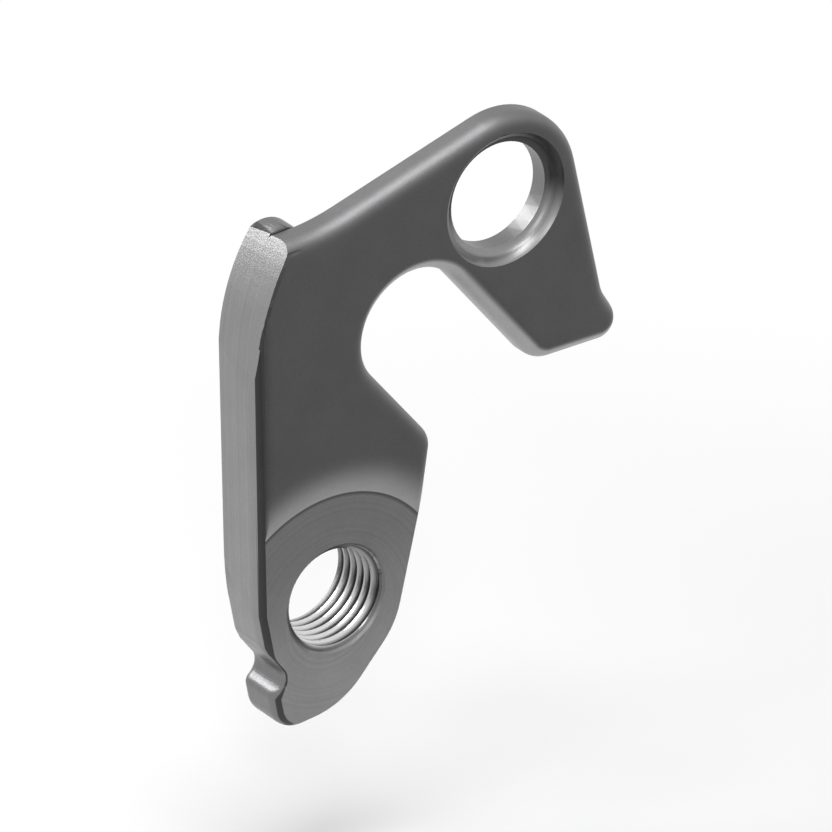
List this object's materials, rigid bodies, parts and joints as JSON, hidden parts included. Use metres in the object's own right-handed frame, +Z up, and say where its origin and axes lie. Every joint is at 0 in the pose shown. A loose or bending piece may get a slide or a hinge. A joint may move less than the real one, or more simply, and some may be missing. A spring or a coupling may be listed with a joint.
{
  "type": "bicycle derailleur hanger",
  "caption": "Flat forged lug with a stepped bolt bore, an open wheel axle slot, a threaded derailleur hole and a notched stop tab.",
  "frame": {"origin": "on the axis of the bolt bore, in the inboard face that seats on the frame end", "axes": "+X forward along the bicycle, +Y inboard towards the wheel, +Z up; the outboard face looks along -Y"},
  "size_m": [0.0386, 0.0071, 0.0525],
  "materials": {
    "hanger_aluminium": "fine blasted grey aluminium, with brighter machined bores, thread and rear facet"
  },
  "bodies": {
    "root": {"derailleur_hanger": "hanger_aluminium"}
  },
  "joints": []
}
